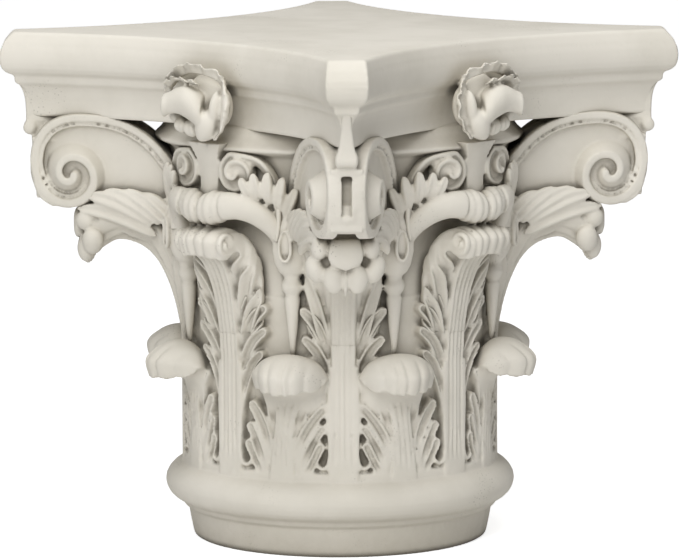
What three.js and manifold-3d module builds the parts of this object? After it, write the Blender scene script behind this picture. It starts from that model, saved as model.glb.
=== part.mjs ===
// Corinthian capital, cast as one piece: a round base moulding, a bell wrapped in two tiers of
// acanthus leaves, corner volutes, inner helices and a four-horned abacus with a flower on each side.
// Millimetres, +Z up, origin at the centre of the underside. Abacus sides face +X, -X, +Y and -Y.
import * as THREE from 'three';
import { mergeVertices } from 'three/addons/utils/BufferGeometryUtils.js';
import Module from 'manifold-3d';

const wasm = await Module();
wasm.setup();

// ---------------------------------------------------------------- driving dimensions
const HEIGHT = 508;
const SIDES = 4;
const QUARTER = 360 / SIDES;
const HORN = 45;
const SHORTEST_EDGE = 4.5;
const MERGE_DISTANCE = 1e-3;
const FLAT_FACE = 1e-3;
const FOLD_COSINE = 0.5;

// Abacus plan at its top edge
const HORN_OUT = 324.5;
const HORN_HALF_WIDTH = 18;
const SIDE_MIDDLE = 182.5;
const SIDE_STEPS = 7;
// Abacus section: height, then how far it stands out from the top edge at a horn and along a side
const ABACUS_SECTION = [
  [HEIGHT, -2, -2],
  [496, 9.5, 3.5],
  [482, 13, 5],
  [470, 10.5, 3],
  [464, 0, -4.5],
  [456, -2, -7],
  [450, -11, -13.5],
  [437, -14, -16.5],
  [425, -13, -15.5],
  [421, -17, -19],
];

// Base moulding and bell, radius and height
const BASE_SECTION = [
  [145, 0],
  [148, 4],
  [152.5, 28],
  [157.5, 33],
];
const TORUS_CENTRE = [156, 57];
const TORUS_SIZE = 19.3;
const TORUS_STEPS = 5;
const TORUS_START = -80;
const TORUS_SWEEP = 165;
const BELL_SECTION = [
  [140, 80],
  [140, 290],
  [160, 350],
  [172, 396],
];
const LIP_SECTION = [
  [184, 403],
  [172, 415],
  [170, 426],
];
const LATHE_STEPS = 32;

// Leaf blades round the bell. Rows give a height and the radius of the bell behind the leaves.
const BLADE_ROWS = [
  [72, 150],
  [95, 148],
  [118, 148],
  [141, 148],
  [165, 148],
  [188, 148],
  [212, 149],
  [236, 150],
  [260, 154],
  [284, 158],
  [312, 150],
];
const BLADE_CHANGE = [188, 212];
// Ribs and channels from the middle of a horn to the middle of a side: azimuth and how far each
// stands out, for the low tier and for the tall tier above it
const LOW_RIBS = [
  [0, 10], [5, 8], [8.5, 1], [13, 8], [22.5, 10.5], [32, 8], [36.5, 1], [40, 8],
];
const TALL_RIBS = [
  [0, 11], [6, 8], [12, 9], [15, 0], [22, 0], [28.5, 0], [32, 9], [38.5, 8],
];
const EDGE_COLUMNS = [2, 3, 5, 6];
const FINGER_SWING = 1.3;

// Curled tips, stations from where they leave the blade to the point: front face out and up,
// back face out and up, half width, and how far the edges hang below the middle
const LOW_BASE = 22.5;
const LOW_LEAN = -3.7;
const LOW_TIP = [
  [156, 146, 144, 150, 27, 0],
  [164, 172, 146, 190, 29, 3],
  [180, 186, 164, 204, 32, 9],
  [195, 182, 197, 198, 37, 11],
  [197, 167, 205, 175, 35, 8],
];
const CORNER_TIP = [
  [159, 215, 146, 220, 36, 0],
  [172, 262, 150, 275, 39, 2],
  [193, 291, 166, 316, 38, 5],
  [214, 301, 206, 331, 36, 8],
  [238, 286, 260, 325, 34, 8],
  [249, 276, 262, 288, 28, 6],
];
const FACE_TIP = [
  [160, 222, 146, 230, 42, 0],
  [168, 262, 150, 275, 42, 1],
  [182, 296, 158, 316, 35, 5],
  [191, 301, 180, 329, 32, 7],
  [199, 299, 208, 318, 31, 7],
  [197, 298, 203, 301, 27, 5],
];
const TIP_ACROSS = 4;
const TIP_GROOVE = 3;
const TIP_ROOT_OUT = 150;

// Volutes: the outer edge of the arm from the calyx to the crown, then the turns around the eye
const EYE_OUT = 268;
const EYE_UP = 366;
const ARM_EDGE = [
  [153, 342],
  [171, 391],
  [210, 421],
];
const TURN_REACH = [60, 38, 32, 27, 21, 13, 8];
const VOLUTE_BODY = [
  [160, 330],
  [166, 370],
  [190, 399],
  [222, 415],
  [262, 419],
  [288, 405],
  [297, 385],
  [297, 350],
  [272, 340],
  [243, 342],
  [214, 322],
  [172, 316],
];
const VOLUTE_FRONT = 305;
const VOLUTE_FRONT_HALF = 18;
const VOLUTE_SPLAY = 0.25;
const VOLUTE_RECESS = 5;
const VOLUTE_BODY_SET_IN = 1;
const RIM_WIDTH = 8.5;
const RIM_DEPTH = 9;
const RIM_TAPER = 0.3;
const RIM_STEP = 1.5;
const RIM_STEPS = 18;
// Share of the ribbon where the channel of the arm ends and the turns round the eye begin
const RIBBON_TURN = 0.45;
const VOLUTE_TURN_WIDTH = 16;
const VOLUTE_TURN_END = 1.3;
const CHANNEL_WIDTH = 26;
const CHANNEL_START = 0.2;
const EYE_RISE = 7;
const EYE_RISE_POWER = 5;

// Helices and cauliculi, azimuth from the middle of a side or a horn
const HELIX_AZIMUTH = 10.7;
const HELIX_OUT = 188;
const HELIX_UP = 382;
const HELIX_REACH = [20, 19.5, 19.5, 17, 11];
const HELIX_RIM = 6;
const HELIX_DEPTH = 14;
const HELIX_RECESS = 4;
const HELIX_STEPS = 11;
const HELIX_FLOOR = 10;
const HELIX_TURN_WIDTH = 18;
const HELIX_TURN_NARROWING = 9;
const HELIX_FALL_BACK = 0.3;
const STALK_AZIMUTH = 18.2;
const STALK_OUT = 160;
const STALK_LEAN = 8;
const STALK_LEAN_FROM = 0.55;
// Spike, bead and bud: height and radius
const STALK_SECTION = [
  [204, 2.5],
  [260, 8],
  [269, 11],
  [279, 7],
  [300, 18],
  [334, 13],
];
const STALK_SIDES = 5;

// Corner scroll under each horn
const SCROLL_OUT = 308;
const SCROLL_UP = 411.5;
const SCROLL_RADIUS = 6.5;
const SCROLL_HALF_WIDTH = 11;
// Its tail, from the inner end to the roll
const TAIL_OUT = [280, 307];
const TAIL_UNDERSIDE = [394, 404];
const TAIL_TOP = 424;
const TAIL_HALF_WIDTH = 8;
const SCROLL_SIDES = 8;

// Bar between the volutes of a horn, with its button
const BAR_OUT = [270, 300];
const BAR_UP = [344, 366];
const BAR_HALF_WIDTH = 17;
const BUTTON_OUT = [296, 303];
const BUTTON_UP = 355;
const BUTTON_RADIUS = 5;
const BUTTON_SIDES = 8;

// Inner calyx leaves: stem and roll
const CALYX_SIDES = 5;
const DEGREE_ROUND_BELL = 3;
const ROLL_SIDES = 6;
const ROLL_STEPS = 2;
const ROLL_RADIUS = 13;
const ROLL_TAPER = 0.25;
const ROLL_START = 1;
const ROLL_LENGTH = 26;
const ROLL_OUT = 194;
const ROLL_SET_BACK = 6;
const ROLL_UP = 345;

// Flower on each side of the abacus, with its stem below
const FLOWER_OUT = 190;
const FLOWER_UP = 448;
const FLOWER_SIZE = [24, 45, 34];
const FLOWER_PETALS = 6;
const FLOWER_ROWS = 5;
const FLOWER_LEAN = 5;
const PETAL_SWELL = 0.1;
const TRUMPET_SIDES = 6;
const TRUMPET_LENGTH = 34;
const TRUMPET_ROOT = 17;
const TRUMPET_NARROWING = 5;
const TRUMPET_SIDE = 4;
const TRUMPET_OUT = 196;
const TRUMPET_RISE = 4;
const TRUMPET_SLANT = 0.55;
const TRUMPET_DROOP = 0.15;
const STEM_SIDES = 6;
const STEM_DEPTH = 0.6;
const STEM_SECTION = [
  [350, 9, 176],
  [368, 12, 181],
  [388, 14, 184],
  [408, 20, 186],
];

// ---------------------------------------------------------------- helpers
const turn = (degrees) => THREE.MathUtils.degToRad(degrees);

// Point given by its azimuth, its distance out from the axis, its height and a step sideways.
function polar(azimuth, out, up, side = 0) {
  const a = turn(azimuth);
  return new THREE.Vector3(
    out * Math.cos(a) - side * Math.sin(a),
    out * Math.sin(a) + side * Math.cos(a),
    up,
  );
}

// Moves every vertex of a geometry to where a function of its own place sends it.
function warp(geometry, map) {
  const position = geometry.attributes.position;
  const vertex = new THREE.Vector3();
  for (let i = 0; i < position.count; i += 1) {
    vertex.fromBufferAttribute(position, i);
    const moved = map(vertex);
    position.setXYZ(i, moved.x, moved.y, moved.z);
  }
  return geometry;
}

// Closed solid of a geometry, faces turned outward.
function solid(geometry) {
  const shape = geometry.index ? geometry : mergeVertices(geometry);
  shape.deleteAttribute('normal');
  shape.deleteAttribute('uv');
  const merged = mergeVertices(shape, MERGE_DISTANCE);
  const position = merged.attributes.position;
  const index = merged.index.array;
  const corners = [0, 1, 2].map(() => new THREE.Vector3());
  const triangles = [];
  let volume = 0;
  for (let i = 0; i < index.length; i += 3) {
    const [a, b, c] = [index[i], index[i + 1], index[i + 2]];
    if (a !== b && b !== c && c !== a) {
      triangles.push([a, b, c]);
      [a, b, c].forEach((n, k) => corners[k].fromBufferAttribute(position, n));
      volume += corners[0].dot(corners[1].cross(corners[2]));
    }
  }
  const outward = triangles.map(([a, b, c]) => (volume > 0 ? [a, b, c] : [a, c, b]));
  return new wasm.Manifold(new wasm.Mesh({
    numProp: 3,
    vertProperties: new Float32Array(position.array),
    triVerts: new Uint32Array(outward.flat()),
  }));
}

// Block of a grid of cells, each corner placed by a function of three shares from 0 to 1.
function slab(across, along, deep, map) {
  const block = new THREE.BoxGeometry(1, 1, 1, across, along, deep);
  return solid(warp(block, (p) => map(p.x + 0.5, p.y + 0.5, p.z + 0.5)));
}

// Round bar, each ring placed by a function of angle, share of the length and share of the radius.
function bar(around, along, map) {
  const rod = new THREE.CylinderGeometry(1, 1, 1, around, along);
  return solid(warp(rod, (p) => map(Math.atan2(p.x, p.z), p.y + 0.5, Math.hypot(p.x, p.z))));
}

// Smooth value of one column of a table of stations at a share of its length.
function station(table, column, share) {
  const place = share * (table.length - 1);
  const first = Math.min(Math.floor(place), table.length - 2);
  return THREE.MathUtils.lerp(table[first][column], table[first + 1][column], place - first);
}

// Closes up edges that are shorter than any real detail, so that the joins leave no slivers. An edge
// closes only where its ends share two neighbours and no face would fold over.
function closeShortEdges(points, faces, shortest) {
  const around = points.map(() => new Set());
  faces.forEach((face, f) => face.forEach((v) => around[v].add(f)));
  const neighbours = (v) => new Set([...around[v]].flatMap((f) => faces[f]).filter((n) => n !== v));
  const normal = ([a, b, c]) => points[b].clone().sub(points[a]).cross(points[c].clone().sub(points[a]));
  const folds = (v, other, place) => [...around[v]].some((f) => {
    if (faces[f].includes(other)) {
      return false;
    }
    const before = normal(faces[f]);
    const old = points[v];
    points[v] = place;
    const after = normal(faces[f]);
    points[v] = old;
    const turned = after.dot(before) < FOLD_COSINE * after.length() * before.length();
    return turned || after.length() < FLAT_FACE;
  });
  let closed = 1;
  while (closed > 0) {
    closed = 0;
    const edges = faces.flatMap(([a, b, c]) => [[a, b], [b, c], [c, a]]).filter(([a, b]) => a < b);
    const short = edges.map(([a, b]) => [points[a].distanceTo(points[b]), a, b]);
    for (const [, a, b] of short.filter(([d]) => d < shortest).sort((p, q) => p[0] - q[0])) {
      const near = neighbours(a);
      const shared = [...neighbours(b)].filter((n) => near.has(n));
      const middle = points[a].clone().lerp(points[b], 0.5);
      const joined = near.has(b) && points[a].distanceTo(points[b]) < shortest;
      if (joined && shared.length === 2 && !folds(a, b, middle) && !folds(b, a, middle)) {
        points[a] = middle;
        for (const f of around[b]) {
          if (faces[f].includes(a)) {
            faces[f].forEach((v) => v !== b && around[v].delete(f));
            faces[f] = [];
          } else {
            faces[f] = faces[f].map((v) => (v === b ? a : v));
            around[a].add(f);
          }
        }
        around[b].clear();
        closed += 1;
      }
    }
  }
  return faces.filter((face) => face.length > 0);
}

// ---------------------------------------------------------------- base and bell
function bell() {
  const torus = [];
  for (let i = 0; i <= TORUS_STEPS; i += 1) {
    const a = turn(TORUS_START + (TORUS_SWEEP * i) / TORUS_STEPS);
    torus.push([TORUS_CENTRE[0] + TORUS_SIZE * Math.cos(a), TORUS_CENTRE[1] + TORUS_SIZE * Math.sin(a)]);
  }
  const section = [...BASE_SECTION, ...torus, ...BELL_SECTION, ...LIP_SECTION];
  const points = [[0, 0], ...section, [0, LIP_SECTION.at(-1)[1]]];
  const profile = points.map(([out, up]) => new THREE.Vector2(out, up));
  const round = new THREE.LatheGeometry(profile, LATHE_STEPS);
  round.rotateX(Math.PI / 2);
  return solid(round);
}

// ---------------------------------------------------------------- abacus
const SIDE_END = [(HORN_OUT + HORN_HALF_WIDTH) / Math.SQRT2, (HORN_OUT - HORN_HALF_WIDTH) / Math.SQRT2];
const SAGITTA = SIDE_END[0] - SIDE_MIDDLE;
const SIDE_RADIUS = (SAGITTA ** 2 + SIDE_END[1] ** 2) / (2 * SAGITTA);
const ARC_CENTRE = SIDE_MIDDLE + SIDE_RADIUS;

// Points of the plan at one level, four hollow sides joined by four flat horn ends.
function abacusPlan(hornOffset, sideOffset) {
  const horn = HORN_OUT + hornOffset;
  const radius = SIDE_RADIUS - sideOffset;
  const rest = horn ** 2 - Math.SQRT2 * ARC_CENTRE * horn + ARC_CENTRE ** 2 - radius ** 2;
  const half = (Math.SQRT2 * ARC_CENTRE - Math.sqrt(2 * ARC_CENTRE ** 2 - 4 * rest)) / 2;
  const spread = Math.asin((horn - half) / Math.SQRT2 / radius);
  const plan = [];
  for (let side = 0; side < SIDES; side += 1) {
    for (let i = 0; i <= SIDE_STEPS; i += 1) {
      const a = spread * ((2 * i) / SIDE_STEPS - 1);
      plan.push(polar(side * QUARTER, ARC_CENTRE - radius * Math.cos(a), 0, radius * Math.sin(a)));
    }
  }
  return plan;
}

function abacus() {
  const levels = ABACUS_SECTION.map(([up, horn, side]) => ({ up, plan: abacusPlan(horn, side) }));
  const count = SIDES * (SIDE_STEPS + 1);
  return bar(count, levels.length - 1, (angle, share, radius) => {
    const level = levels[Math.round((1 - share) * (levels.length - 1))];
    const index = (Math.round((angle / (2 * Math.PI)) * count) + count) % count;
    const point = level.plan[index].clone().multiplyScalar(radius);
    return point.setZ(level.up);
  });
}

// ---------------------------------------------------------------- leaves
// Every blade of both tiers as one ribbed ring; the edges swing to and fro as the fingers do.
function blades() {
  const half = LOW_RIBS.length;
  const count = 2 * SIDES * half;
  const rows = BLADE_ROWS.length - 1;
  return bar(count, rows, (angle, share, radius) => {
    const row = Math.round(share * rows);
    const [up, ground] = BLADE_ROWS[row];
    const index = (Math.round((angle / (2 * Math.PI)) * count) + count) % count;
    const horn = Math.floor((index + half) / (2 * half));
    const step = index - horn * 2 * half;
    const column = Math.abs(step);
    const tall = THREE.MathUtils.smoothstep(up, ...BLADE_CHANGE);
    const [lowAzimuth, lowRelief] = column < half ? LOW_RIBS[column] : [HORN, LOW_RIBS[0][1]];
    const [tallAzimuth, tallRelief] = column < half ? TALL_RIBS[column] : [HORN, TALL_RIBS[0][1]];
    const finger = EDGE_COLUMNS.includes(column) ? FINGER_SWING * (row % 2 === 0 ? 1 : -1) : 0;
    const azimuth = THREE.MathUtils.lerp(lowAzimuth, tallAzimuth, tall) + finger;
    const relief = THREE.MathUtils.lerp(lowRelief, tallRelief, tall);
    return polar(horn * QUARTER + HORN + Math.sign(step) * azimuth, (ground + relief) * radius, up);
  });
}

// Tip of a leaf, which leaves its blade, arches over and hangs, scalloped across.
function leafTip(azimuth, lean, table) {
  const rows = table.length - 1;
  return slab(TIP_ACROSS, rows, 1, (x, y, z) => {
    const w = 2 * x - 1;
    const groove = Math.round(x * TIP_ACROSS) % 2 === 1 ? TIP_GROOVE * y : 0;
    const half = station(table, 4, y);
    const droop = station(table, 5, y) * w ** 2;
    const out = THREE.MathUtils.lerp(station(table, 2, y) - groove, station(table, 0, y), z) - droop;
    const up = THREE.MathUtils.lerp(station(table, 3, y) - groove, station(table, 1, y), z) - droop;
    const swing = THREE.MathUtils.radToDeg((w * half) / Math.max(out, TIP_ROOT_OUT));
    return polar(azimuth + lean + swing, out, up);
  });
}

// ---------------------------------------------------------------- volutes
// Curve of the outer edge of a volute, in out and up, from the calyx to the eye.
function spiral(arm, eye, reach) {
  const points = arm.map(([out, up]) => new THREE.Vector2(out, up));
  reach.forEach((distance, i) => {
    const a = (i * Math.PI) / 2;
    points.push(new THREE.Vector2(eye[0] + distance * Math.sin(a), eye[1] + distance * Math.cos(a)));
  });
  return new THREE.SplineCurve(points);
}

const voluteEdge = spiral(ARM_EDGE, [EYE_OUT, EYE_UP], TURN_REACH);
const voluteHalf = (out) => VOLUTE_FRONT_HALF + (VOLUTE_FRONT - out) * VOLUTE_SPLAY;

// Point set in from the outer edge at a share of its length.
function insetPoint(curve, share, inset) {
  const point = curve.getPoint(share);
  const tangent = curve.getTangent(share);
  return new THREE.Vector2(point.x + tangent.y * inset, point.y - tangent.x * inset);
}

// Ribbon of a volute: a raised rim, a step down and a channel floor as far as the next turn.
function voluteRibbon(azimuth, hand) {
  return slab(3, RIM_STEPS, 1, (x, y, z) => {
    const column = Math.round(3 * x);
    const rim = RIM_WIDTH * (1 - RIM_TAPER * y);
    const turnWidth = VOLUTE_TURN_WIDTH * (VOLUTE_TURN_END - y);
    const channelWidth = CHANNEL_WIDTH * Math.sin(Math.PI * (CHANNEL_START + y));
    const floor = y > RIBBON_TURN ? turnWidth : channelWidth;
    const inset = [0, rim, rim + RIM_STEP, rim + floor][column];
    const point = insetPoint(voluteEdge, y, inset);
    const step = column > 1 ? VOLUTE_RECESS : 0;
    const rise = EYE_RISE * y ** EYE_RISE_POWER;
    const side = voluteHalf(point.x) - step - (1 - z) * (RIM_DEPTH - step) + rise;
    return polar(azimuth, point.x, point.y, hand * side);
  });
}

// Body between the two volutes of a horn.
function voluteBody(azimuth) {
  const outline = VOLUTE_BODY.map(([out, up]) => new THREE.Vector2(out, up));
  const block = new THREE.ExtrudeGeometry(new THREE.Shape(outline), { depth: 2, bevelEnabled: false });
  return solid(warp(block, (p) => {
    const half = voluteHalf(p.x) - VOLUTE_RECESS - VOLUTE_BODY_SET_IN;
    return polar(azimuth, p.x, p.y, half * (p.z - 1));
  }));
}

// Roll that closes the corner between the horn and the two volutes, with its tail.
function cornerScroll(azimuth) {
  const roll = bar(SCROLL_SIDES, 1, (angle, share, radius) => polar(
    azimuth,
    SCROLL_OUT + SCROLL_RADIUS * radius * Math.cos(angle),
    SCROLL_UP + SCROLL_RADIUS * radius * Math.sin(angle),
    SCROLL_HALF_WIDTH * (2 * share - 1),
  ));
  const tail = slab(1, 1, 1, (x, y, z) => polar(
    azimuth,
    THREE.MathUtils.lerp(...TAIL_OUT, x),
    THREE.MathUtils.lerp(THREE.MathUtils.lerp(...TAIL_UNDERSIDE, x), TAIL_TOP, y),
    TAIL_HALF_WIDTH * (2 * z - 1),
  ));
  return [roll, tail];
}

// Bar between the volutes at the height of their eyes, with its button.
function cornerBar(azimuth) {
  const cross = slab(1, 1, 1, (x, y, z) => polar(
    azimuth,
    THREE.MathUtils.lerp(...BAR_OUT, x),
    THREE.MathUtils.lerp(...BAR_UP, y),
    BAR_HALF_WIDTH * (2 * z - 1),
  ));
  const button = bar(BUTTON_SIDES, 1, (angle, share, radius) => polar(
    azimuth,
    THREE.MathUtils.lerp(...BUTTON_OUT, share),
    BUTTON_UP + BUTTON_RADIUS * radius * Math.cos(angle),
    BUTTON_RADIUS * radius * Math.sin(angle),
  ));
  return [cross, button];
}

// ---------------------------------------------------------------- helices, stalks and calyx leaves
// Helix on the bell beside the middle of a side; hand is the way its arm runs towards the horn.
const HELIX_ARM = [[44, -60], [41, -12]];
const helixEdge = spiral(HELIX_ARM, [0, 0], HELIX_REACH);

function helix(azimuth, hand) {
  const middle = azimuth + hand * HELIX_AZIMUTH;
  return slab(2, HELIX_STEPS, 1, (x, y, z) => {
    const column = Math.round(2 * x);
    const rim = HELIX_RIM * (1 - RIM_TAPER * y);
    const floor = y > RIBBON_TURN ? HELIX_TURN_WIDTH - HELIX_TURN_NARROWING * y : HELIX_FLOOR;
    const point = insetPoint(helixEdge, y, [0, rim, floor][column]);
    const swing = hand * THREE.MathUtils.radToDeg(point.x / HELIX_OUT);
    const step = column > 1 ? HELIX_RECESS : 0;
    const front = HELIX_OUT - Math.max(0, point.x) * HELIX_FALL_BACK;
    const out = front - step - (1 - z) * (HELIX_DEPTH - step);
    return polar(middle + swing, out, HELIX_UP + point.y);
  });
}

// Tapering stalk with its bead and bud, half sunk in the bell.
function cauliculus(azimuth) {
  const rows = STALK_SECTION.length - 1;
  return bar(STALK_SIDES, rows, (angle, share, radius) => {
    const up = station(STALK_SECTION, 0, share);
    const size = station(STALK_SECTION, 1, share) * radius;
    const out = STALK_OUT + STALK_LEAN * Math.max(0, share - STALK_LEAN_FROM);
    return polar(azimuth, out + size * Math.cos(angle), up, size * Math.sin(angle));
  });
}

// Inner calyx leaf: an arching stem from the bud to the middle of the side, ending in a roll.
const CALYX_PATH = new THREE.CatmullRomCurve3([
  new THREE.Vector3(27, 162, 262),
  new THREE.Vector3(24, 168, 300),
  new THREE.Vector3(19, 178, 330),
  new THREE.Vector3(13, 190, 347),
  new THREE.Vector3(7, 197, 345),
]);
const CALYX_WIDTH = [[7, 8], [9, 12], [11, 17], [13, 18], [11, 14]];

function calyxLeaf(azimuth, hand) {
  return bar(CALYX_SIDES, CALYX_WIDTH.length - 1, (angle, share, radius) => {
    const middle = CALYX_PATH.getPoint(share);
    const deep = station(CALYX_WIDTH, 0, share) * radius * Math.cos(angle);
    const tall = station(CALYX_WIDTH, 1, share) * radius * Math.sin(angle);
    const tangent = CALYX_PATH.getTangent(share);
    const slope = Math.atan2(tangent.z, -tangent.x * DEGREE_ROUND_BELL);
    const swing = THREE.MathUtils.radToDeg((tall * Math.sin(slope)) / middle.y);
    return polar(azimuth + hand * (middle.x + swing), middle.y + deep, middle.z + tall * Math.cos(slope));
  });
}

function calyxRoll(azimuth, hand) {
  return bar(ROLL_SIDES, ROLL_STEPS, (angle, share, radius) => {
    const size = ROLL_RADIUS * radius * (1 - ROLL_TAPER * Math.abs(2 * share - 1));
    const side = hand * (ROLL_START + ROLL_LENGTH * share);
    const out = ROLL_OUT + size * Math.cos(angle) - ROLL_SET_BACK * share;
    return polar(azimuth, out, ROLL_UP + size * Math.sin(angle), side);
  });
}

// ---------------------------------------------------------------- flower and its stem
function flower(azimuth, hand) {
  const ball = new THREE.SphereGeometry(1, 2 * FLOWER_PETALS, FLOWER_ROWS);
  const head = solid(warp(ball, (p) => {
    const a = Math.atan2(p.z, p.x);
    const petal = 1 + PETAL_SWELL * Math.cos(FLOWER_PETALS * a) * Math.hypot(p.x, p.z);
    const side = FLOWER_SIZE[1] * petal * p.x;
    const up = FLOWER_UP + FLOWER_SIZE[2] * petal * p.z;
    return polar(azimuth, FLOWER_OUT + FLOWER_SIZE[0] * p.y + FLOWER_LEAN * p.z, up, side);
  }));
  const trumpet = bar(TRUMPET_SIDES, 1, (angle, share, radius) => {
    const size = (TRUMPET_ROOT - TRUMPET_NARROWING * share) * radius;
    const reach = TRUMPET_LENGTH * share;
    const side = hand * (TRUMPET_SIDE + reach * TRUMPET_SLANT) + size * Math.cos(angle);
    const up = FLOWER_UP + TRUMPET_RISE - reach * TRUMPET_DROOP + size * Math.sin(angle);
    return polar(azimuth, TRUMPET_OUT + reach * TRUMPET_SLANT, up, side);
  });
  return [head, trumpet];
}

function stem(azimuth) {
  const rows = STEM_SECTION.length - 1;
  return bar(STEM_SIDES, rows, (angle, share, radius) => {
    const size = station(STEM_SECTION, 1, share) * radius;
    const out = station(STEM_SECTION, 2, share) + size * STEM_DEPTH * Math.cos(angle);
    return polar(azimuth, out, station(STEM_SECTION, 0, share), size * Math.sin(angle));
  });
}

// ---------------------------------------------------------------- the whole casting
const pieces = [bell(), blades(), abacus()];
for (let i = 0; i < SIDES; i += 1) {
  const side = i * QUARTER;
  const horn = side + HORN;
  const mirror = i % 2 === 0 ? 1 : -1;
  pieces.push(leafTip(side, 0, FACE_TIP), leafTip(horn, 0, CORNER_TIP));
  pieces.push(voluteBody(horn), ...cornerScroll(horn), ...cornerBar(horn));
  pieces.push(...flower(side, mirror), stem(side));
  for (const hand of [-1, 1]) {
    pieces.push(leafTip(horn + hand * LOW_BASE, hand * LOW_LEAN, LOW_TIP));
    pieces.push(voluteRibbon(horn, hand), helix(side, hand));
    pieces.push(cauliculus(horn + hand * STALK_AZIMUTH));
    pieces.push(calyxLeaf(side, hand), calyxRoll(side, hand));
  }
}
const whole = pieces.reduce((casting, piece) => casting.add(piece));
const joined = whole.getMesh();
const points = [];
for (let i = 0; i < joined.vertProperties.length; i += 3) {
  points.push(new THREE.Vector3().fromArray(joined.vertProperties, i));
}
const faces = [];
for (let i = 0; i < joined.triVerts.length; i += 3) {
  faces.push([...joined.triVerts.slice(i, i + 3)]);
}
const kept = closeShortEdges(points, faces, SHORTEST_EDGE);
const geometry = new THREE.BufferGeometry().setFromPoints(points);
geometry.setIndex(kept.flat());

const castStone = new THREE.MeshStandardMaterial({ color: 0xd2cdc1, roughness: 0.82, metalness: 0 });
const capital = new THREE.Mesh(geometry, castStone);
capital.name = 'capital';

const group = new THREE.Group();
group.add(capital);
export default group;
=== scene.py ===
"""Corinthian capital, cast as one piece: dressed with its carving, its stone and its light."""
import math

import bmesh
import bpy
import numpy as np
from mathutils import Matrix, Vector


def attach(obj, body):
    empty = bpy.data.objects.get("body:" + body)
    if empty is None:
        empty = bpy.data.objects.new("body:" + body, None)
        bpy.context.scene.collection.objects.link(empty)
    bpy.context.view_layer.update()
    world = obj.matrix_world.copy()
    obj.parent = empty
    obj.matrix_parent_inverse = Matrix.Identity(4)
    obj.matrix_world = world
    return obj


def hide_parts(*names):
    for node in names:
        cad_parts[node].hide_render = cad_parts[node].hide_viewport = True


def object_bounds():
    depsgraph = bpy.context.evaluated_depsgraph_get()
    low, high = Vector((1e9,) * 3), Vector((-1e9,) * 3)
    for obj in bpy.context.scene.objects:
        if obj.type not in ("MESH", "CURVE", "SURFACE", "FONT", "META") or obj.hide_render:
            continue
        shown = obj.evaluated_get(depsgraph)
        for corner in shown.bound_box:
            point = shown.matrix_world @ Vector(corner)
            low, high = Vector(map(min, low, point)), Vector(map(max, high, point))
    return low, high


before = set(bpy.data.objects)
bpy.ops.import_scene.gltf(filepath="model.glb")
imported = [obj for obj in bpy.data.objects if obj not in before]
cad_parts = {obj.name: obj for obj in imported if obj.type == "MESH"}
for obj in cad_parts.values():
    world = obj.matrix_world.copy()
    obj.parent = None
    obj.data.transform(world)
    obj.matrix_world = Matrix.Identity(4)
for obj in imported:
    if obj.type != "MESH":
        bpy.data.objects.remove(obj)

CAD_BOX = [list(map(float, corner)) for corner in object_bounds()]
HEIGHT = CAD_BOX[1][2] * 1000

# ---------------------------------------------------------------- sizes in millimetres
MM = 0.001
VOXEL = 1.5
TRIANGLES = 192000
DEGREE = 2.74

# Abacus
HORN_OUT = 324.5
HORN_HALF_WIDTH = 18.0
SIDE_MIDDLE = 182.5
SIDE_STEPS = 72
# Height, then how far the section stands out from the top edge at a horn and along a side
ABACUS_SECTION = [
    (HEIGHT, -2.0, -2.0), (506.5, 0.6, 0.2), (503, 4.0, 1.4), (498, 8.2, 3.0),
    (496, 9.2, 3.4), (495.2, 8.2, 2.6), (494.4, 9.8, 3.7), (489, 12.2, 4.7), (483, 13.0, 5.0),
    (477, 12.6, 4.6), (471.5, 10.8, 3.2), (467.5, 6.8, 0.2), (465.2, 1.6, -3.4), (464.4, -1.2, -5.4),
    (462.8, -1.4, -6.2), (457.6, -1.8, -7.0), (456.2, -2.8, -7.6), (455.0, -5.4, -9.6),
    (452, -9.6, -12.6), (447, -12.4, -15.0), (440, -13.8, -16.4), (432, -13.8, -16.2),
    (427, -13.2, -15.6), (424.6, -12.8, -15.4), (422.8, -14.0, -16.4), (422.2, -19.0, -21.0),
]

# Base moulding and bell: radius, height
BASE_PROFILE = [
    (144.5, 0), (146.4, 1.2), (147.4, 3.5), (148.4, 8), (150.8, 20), (152.0, 27.4),
    (152.2, 28.4), (151.8, 29.6), (154.0, 30.6), (157.0, 32.4), (158.0, 34.6), (158.6, 37.2),
    (162.4, 38.4), (167.2, 41.2), (171.4, 45.2), (174.0, 50), (175.2, 55.5), (174.4, 61),
    (171.6, 66.4), (167.4, 70.8), (162.6, 74), (157.6, 76.2), (155.2, 77.6), (150, 79),
    (146, 84), (146.5, 200), (150.5, 262), (152, 300), (154, 330), (161, 366), (171, 397),
    (183.2, 402.4), (184.2, 404.4), (183.4, 406.4), (178.6, 410.6), (174.6, 416), (172.2, 424), (166, 428),
]
LATHE_STEPS = 240

# ---------------------------------------------------------------- shares and curves
def smooth(low, high, value):
    """Soft step from 0 to 1 between two values."""
    t = np.clip((value - low) / (high - low), 0.0, 1.0)
    return t * t * (3 - 2 * t)


def mix(a, b, share):
    return a + (b - a) * share


def through(table, share):
    """Rows of a table at shares of its length, on a smooth curve through them."""
    rows = np.asarray(table, dtype=float)
    place = np.clip(share, 0, 1) * (len(rows) - 1)
    i = np.minimum(place.astype(int), len(rows) - 2)
    t = (place - i)[..., None]
    before, first = rows[np.maximum(i - 1, 0)], rows[i]
    second, after = rows[i + 1], rows[np.minimum(i + 2, len(rows) - 1)]
    return 0.5 * (2 * first + (second - before) * t
                  + (2 * before - 5 * first + 4 * second - after) * t ** 2
                  + (3 * first - before - 3 * second + after) * t ** 3)


def polar(azimuth, out, up, side=0.0):
    """Points from azimuth in degrees, distance from the axis, height and a step sideways."""
    a = np.radians(azimuth)
    x = out * np.cos(a) - side * np.sin(a)
    y = out * np.sin(a) + side * np.cos(a)
    return np.stack(np.broadcast_arrays(x, y, up), axis=-1)


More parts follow.
